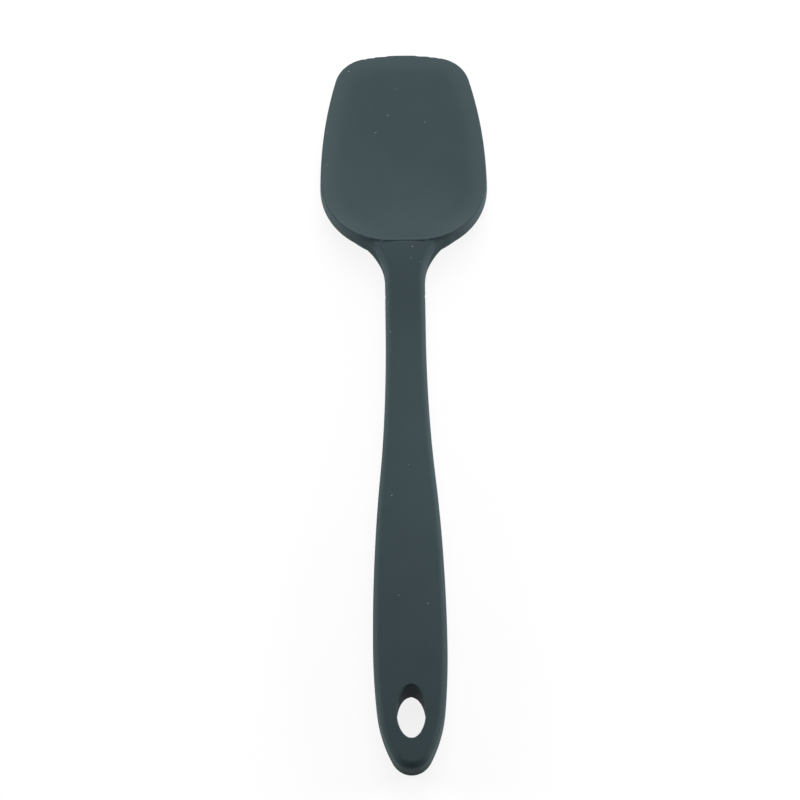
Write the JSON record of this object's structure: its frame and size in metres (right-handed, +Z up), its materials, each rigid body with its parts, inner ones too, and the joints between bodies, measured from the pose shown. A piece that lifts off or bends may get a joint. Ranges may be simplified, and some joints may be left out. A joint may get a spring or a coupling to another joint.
{
  "type": "silicone spatula",
  "caption": "Seamless silicone spatula with a shallow dished head, a thin flexible front edge, a tapered one-piece handle, a stiff inner core and an oval hanging hole.",
  "frame": {"origin": "on the table under the middle of the tool, which lies on its back with the dished face up", "axes": "+Y along the tool from the hanging end to the tip of the head, +Z up out of the face, +X to the right"},
  "size_m": [0.0598, 0.2759, 0.0138],
  "materials": {
    "silicone": "matt moulded silicone, dark grey with a little blue-green",
    "nylon": "black glass-filled nylon, matt as moulded"
  },
  "bodies": {
    "root": {"silicone_jacket": "silicone", "nylon_core": "nylon"}
  },
  "joints": []
}
